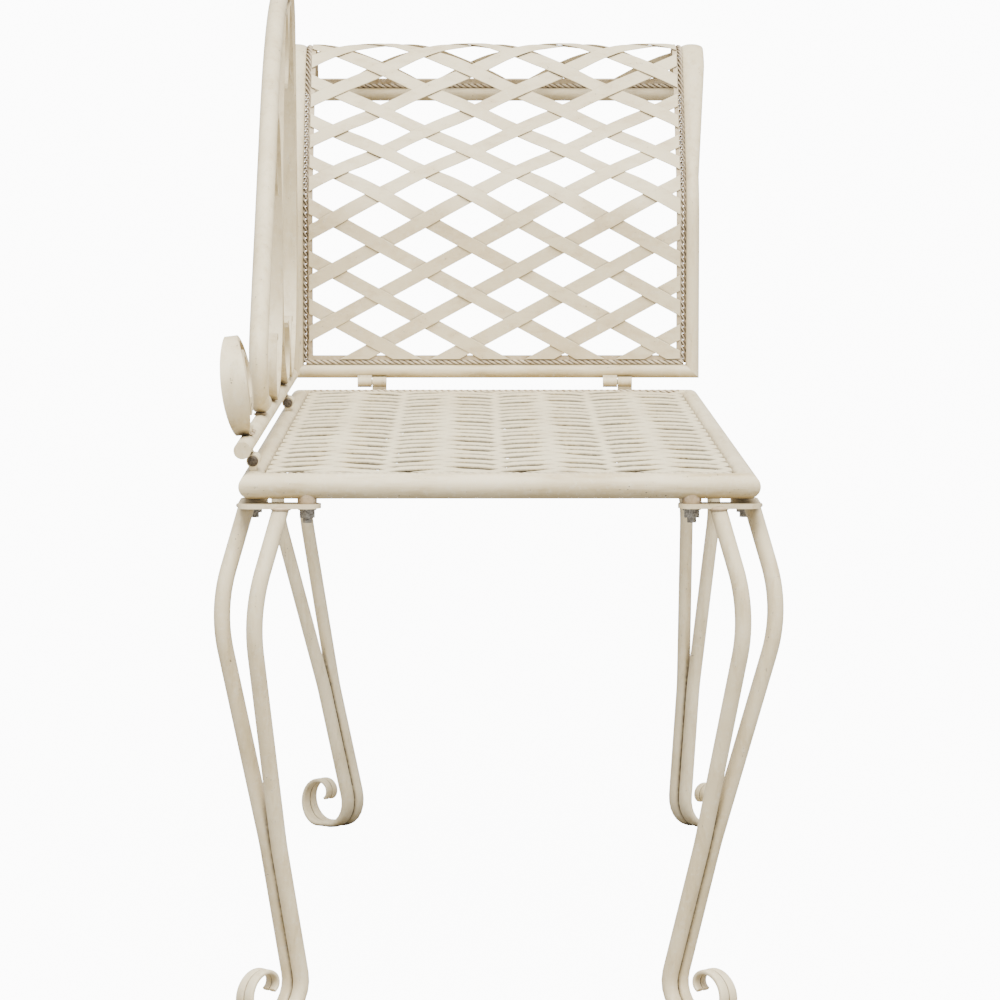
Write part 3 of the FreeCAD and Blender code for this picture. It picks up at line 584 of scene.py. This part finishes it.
def legLine(name, x, y, top, side):
    # middle line of one rod, from its leg plate to the tip of its curl
    xSide = -1 if name.startswith("foot") else 1
    ySide = 1 if name.endswith("back") else -1
    along, across, up = Vector((-xSide, 0, 0)), Vector((0, -ySide, 0)), Vector((0, 0, 1))
    splayed = -(along + across).normalized()
    spread = (along - across) * side
    low = leg["rod"] / 2 - leg["footFlat"]
    head = Vector((x, y, top)) + (along + across) * leg["inset"]
    knee = head + splayed * (top - leg["knee"]) * math.tan(leg["splay"]) - up * (top - leg["knee"])
    heel = knee + along * leg["draw"] + across * leg["tucks"][name] - up * (leg["knee"] - low)
    ankle = knee.lerp(heel, (leg["knee"] - leg["ankle"]) / (leg["knee"] - low))
    aim = math.radians(leg["aim"][name])
    outward = -(along * math.cos(aim) + across * math.sin(aim))
    toe = heel + outward * leg["reach"][name] - up * (low - leg["toeThick"] / 2)
    points = [place + spread * leg["spreadTop"] for place in (head, knee)]
    points += [place + spread * leg["spreadFoot"] for place in (ankle, heel, toe)]
    places = bentLine(points, (leg["kneeRadius"], leg["ankleRadius"], leg["heelRadius"]))
    toeAt = len(places) - 1
    turned, turn = 0.0, leg["curlStep"]
    while turned < leg["curlTurn"]:
        share = (turned - leg["openTurn"]) / (leg["curlTurn"] - leg["openTurn"])
        tight = smoothStep(share * leg["shrinkPace"])
        radius = leg["curls"][name] * (1 + (leg["tipShrink"] - 1) * tight)
        heading = turned + turn / 2
        places.append(places[-1] + (outward * math.cos(heading) + up * math.sin(heading)) * radius * turn)
        turned += turn
    return places, toeAt, spread


def legRings(name, x, y, top, side):
    places, toeAt, spread = legLine(name, x, y, top, side)
    last = len(places) - 1
    flatFrom = toeAt + 1 - round(leg["flatRun"] * leg["reach"][name] / leg["step"])
    rings = []
    for number, place in enumerate(places):
        ahead = (places[min(number + 1, last)] - places[max(number - 1, 0)]).normalized()
        wide = (spread - ahead * spread.dot(ahead)).normalized()
        thick = ahead.cross(wide)
        forged = smoothStep((number - flatFrom) / (toeAt - flatFrom))
        tip = max(0.0, (number - toeAt) / (last - toeAt))
        narrow = leg["tipNarrow"] * smoothStep((number - flatFrom) / (leg["narrowBy"] * (last - flatFrom)))
        place = place - spread * leg["spreadFoot"] * narrow
        a = leg["rod"] / 2 * (1 - narrow)
        b = leg["rod"] / 2 + (leg["toeThick"] - leg["rod"]) / 2 * forged
        b += (leg["tipThick"] - leg["toeThick"]) / 2 * tip
        square = 1 - leg["square"] * forged
        ring = []
        for k in range(leg["sides"]):
            angle = 2 * math.pi * k / leg["sides"]
            c, s = math.cos(angle), math.sin(angle)
            spot = place + wide * math.copysign(abs(c) ** square, c) * a
            spot += thick * math.copysign(abs(s) ** square, s) * b
            if number == 0:
                spot -= ahead * (spot.z - top) / ahead.z
            spot.z = max(spot.z, 0.0)
            ring.append(spot)
        rings.append(ring)
    return rings


def beadRing(ring, seed, verts, faces):
    # a lumpy weld that runs round a closed ring of points
    count, sides = len(ring), leg["beadSides"]
    centre = sum(ring, Vector()) / count
    rings = []
    for k in range(count + 1):
        out = (ring[k % count] - centre).normalized()
        swell = leg["bead"] * (1 + leg["beadWobble"] * handWobble(seed + k % count))
        rings.append([ring[k % count] + (out * math.cos(t) - Vector((0, 0, 1)) * math.sin(t)) * swell
                      for t in (2 * math.pi * j / sides for j in range(sides))])
    loftRings(rings, verts, faces, closedEnds=False)


def forgedLegs():
    weldVerts, weldFaces = [], []
    for seed, name in enumerate(leg["tucks"]):
        end, side = (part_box("seat_" + part + "_rail") for part in name.split("_"))
        x, y = (end[0].x + end[1].x) / 2, (side[0].y + side[1].y) / 2
        verts, faces = [], []
        for way in (1, -1):
            rings = legRings(name, x, y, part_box("leg_plate_" + name)[0].z, way)
            loftRings(rings, verts, faces)
            beadRing(rings[0], 40 * seed + 20 * way, weldVerts, weldFaces)
        meshPiece("forged_leg_" + name, verts, faces, uprightPaint, "seat", ("leg_rods_" + name,))
    meshPiece("leg_weld_beads", weldVerts, weldFaces, weldAndSaddleShadePaint, "seat")


forgedLegs()
print("legs forged")


# weld beads of the scrollwork

weld = {"long": 0.0075, "wide": 0.0065, "high": 0.0022, "around": 12, "levels": 6, "wobble": 0.16, "proud": 0.0004,
        "scrollFoot": 0.1205, "scrollTouch": 0.148, "touchLong": 1.4, "voluteStart": 0.048, "voluteEnd": 0.004,
        "tubeStart": 0.040, "tubeEnd": 0.009}


def weldLump(place, long, wide, high, seed, verts, faces):
    around, levels = weld["around"], weld["levels"]
    rings = []
    for level in range(1, levels):
        tilt = math.pi * level / levels
        ring = []
        for k in range(around):
            angle = 2 * math.pi * k / around
            swell = 1 + weld["wobble"] * handWobble(seed + 3 * level + k)
            ring.append(Vector(place) + Vector((long * math.sin(tilt) * math.cos(angle) * swell,
                                                wide * math.sin(tilt) * math.sin(angle) * swell,
                                                high * math.cos(tilt) * swell)))
        rings.append(ring)
    rings.reverse()
    loftRings(rings, verts, faces)


def scrollWelds():
    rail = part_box("back_rail")
    y, railTop = (rail[0].y + rail[1].y) / 2, rail[1].z
    foot, head, post = (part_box("back_scroll_" + name) for name in ("foot", "head", "post"))
    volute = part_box("back_volute")
    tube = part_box("back_top_tube")
    low = weld["scrollFoot"]
    verts, faces = [], []
    onRail = [foot[1].x - low, head[0].x + low, post[1].x - low,
              volute[0].x + weld["voluteStart"], volute[1].x - weld["voluteEnd"],
              tube[0].x + weld["tubeStart"], tube[1].x - weld["tubeEnd"]]
    for seed, x in enumerate(onRail):
        weldLump((x, y, railTop + weld["proud"]), weld["long"], weld["wide"], weld["high"], 7 * seed, verts, faces)
    for seed, x in enumerate((foot[1].x, post[1].x)):
        weldLump((x, y, railTop + weld["scrollTouch"]), weld["high"], weld["wide"],
                 weld["touchLong"] * weld["long"], 90 + 7 * seed, verts, faces)
    meshPiece("scroll_weld_beads", verts, faces, weldAndSaddleShadePaint, "back")


scrollWelds()
print("welds laid")


# peened heads of the hinge pins of the back

pinHead = {"radius": 0.0046, "high": 0.0011, "sides": 20,
           "profile": ((1.0, 0.0), (1.0, 0.35), (0.86, 0.75), (0.45, 1.0))}


def pinHeads():
    pins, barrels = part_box("back_hinge_pins"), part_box("back_hinge_seat_barrels")
    y, z = (pins[0].y + pins[1].y) / 2, (pins[0].z + pins[1].z) / 2
    hinge = 2 * (pins[1].x - barrels[1].x)
    turns = [2 * math.pi * k / pinHead["sides"] for k in range(pinHead["sides"])]
    verts, faces = [], []
    for x in (pins[0].x, pins[1].x - hinge):
        rings = []
        for share, lift in pinHead["profile"]:
            r = share * pinHead["radius"]
            rings.append([(x - lift * pinHead["high"], y + r * math.sin(a), z + r * math.cos(a)) for a in turns])
        loftRings(rings, verts, faces)
    meshPiece("hinge_pin_heads", verts, faces, agedPin, "seat")


pinHeads()
print("pins headed")


# softened edges of bars, plates and nuts

soften = {"segments": 3, "angle": math.radians(40),
          "widths": {"back_volute": 0.0016, "back_scroll": 0.0009, "back_rail_caps": 0.0006, "leg_plate": 0.0008,
                     "leg_nuts": 0.0005, "leg_washers": 0.0003, "seat_edge_bars": 0.0005,
                     "rest_edge_bars": 0.0005}}
for start, width in soften["widths"].items():
    for name, node in nodes.items():
        if name.startswith(start):
            bevel = node.modifiers.new("softEdge", "BEVEL")
            bevel.width = width
            bevel.segments = soften["segments"]
            bevel.limit_method = "ANGLE"
            bevel.angle_limit = soften["angle"]
print("edges softened")


# floor, light and camera

studio = {"warm": (1.0, 0.985, 0.945), "floor": (0.26, 0.25, 0.235, 1), "floorCloud": (0.245, 0.235, 0.22, 1),
          "cloudScale": 3.0, "floorReach": 120.0, "floorGlow": 11.0, "sky": 11.7, "skyLight": 1.16, "sun": 5.2,
          "sunSpread": math.radians(60), "sunFrom": (-1.2, -0.5, 2.8), "front": 145, "frontWide": 1.6,
          "frontFrom": (-3.6, 0.4, 3.7), "frontAim": (0, 0, 0.5)}


def studioFloor():
    far = studio["floorReach"]
    mesh = bpy.data.meshes.new("floor")
    mesh.from_pydata([(-far, -far, 0), (far, -far, 0), (far, far, 0), (-far, far, 0)], [], [(0, 1, 2, 3)])
    material, tree, shader = plainMaterial("paleFloor")
    where = tree.nodes.new("ShaderNodeTexCoord").outputs["Object"]
    cloud = noiseNode(tree, where, studio["cloudScale"], 3.0).outputs["Fac"]
    tree.links.new(mixColour(tree, cloud, studio["floor"], studio["floorCloud"]), shader.inputs["Base Color"])
    shader.inputs["Roughness"].default_value = 0.8
    shader.inputs["Specular IOR Level"].default_value = 0.1
    shader.inputs["Emission Color"].default_value = (1, 1, 1, 1)
    # bright to look at, calm as a reflector
    seen = tree.nodes.new("ShaderNodeLightPath").outputs["Is Camera Ray"]
    tree.links.new(mathNode(tree, "MULTIPLY", seen, studio["floorGlow"]), shader.inputs["Emission Strength"])
    mesh.materials.append(material)
    floor = addObject("floor", mesh)


def studioSky():
    world = bpy.data.worlds.new("studio")
    world.use_nodes = True
    tree = world.node_tree
    back = tree.nodes["Background"]
    back.inputs["Color"].default_value = (1, 1, 1, 1)
    # the sky shows as white as the floor
    seen = tree.nodes.new("ShaderNodeLightPath").outputs["Is Camera Ray"]
    tree.links.new(rangeNode(tree, seen, 0.0, 1.0, studio["skyLight"], studio["sky"]), back.inputs["Strength"])
    bpy.context.scene.world = world


def studioLamp(name, kind, energy, away):
    light = bpy.data.lights.new(name, kind)
    light.energy = energy
    light.color = studio["warm"]
    lamp = addObject(name, light)
    lamp.rotation_euler = away.to_track_quat("Z", "Y").to_euler()
    return lamp


def studioLights():
    sun = studioLamp("softSun", "SUN", studio["sun"], Vector(studio["sunFrom"]))
    sun.data.angle = studio["sunSpread"]
    place = Vector(studio["frontFrom"])
    box = studioLamp("frontSoftbox", "AREA", studio["front"], place - Vector(studio["frontAim"]))
    box.data.size = studio["frontWide"]
    box.location = place


camera = {"focalPixels": 4337.0, "fromSeatEnd": 3.716, "height": 0.816, "aside": 0.019, "down": 0.0950,
          "right": 0.0052, "frame": 1000.0, "sensor": 36.0, "far": 200}


def photoCamera():
    data = bpy.data.cameras.new("photoCamera")
    data.sensor_width = camera["sensor"]
    data.lens = camera["focalPixels"] / camera["frame"] * camera["sensor"]
    data.clip_end = camera["far"]
    view = addObject("photoCamera", data)
    low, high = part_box("seat_foot_rail")
    view.location = (low.x - camera["fromSeatEnd"], (low.y + high.y) / 2 + camera["aside"], camera["height"])
    view.rotation_euler = (math.pi / 2 - camera["down"], 0, -math.pi / 2 - camera["right"])
    bpy.context.scene.camera = view


studioFloor()
studioSky()
studioLights()
photoCamera()
print("studio set")
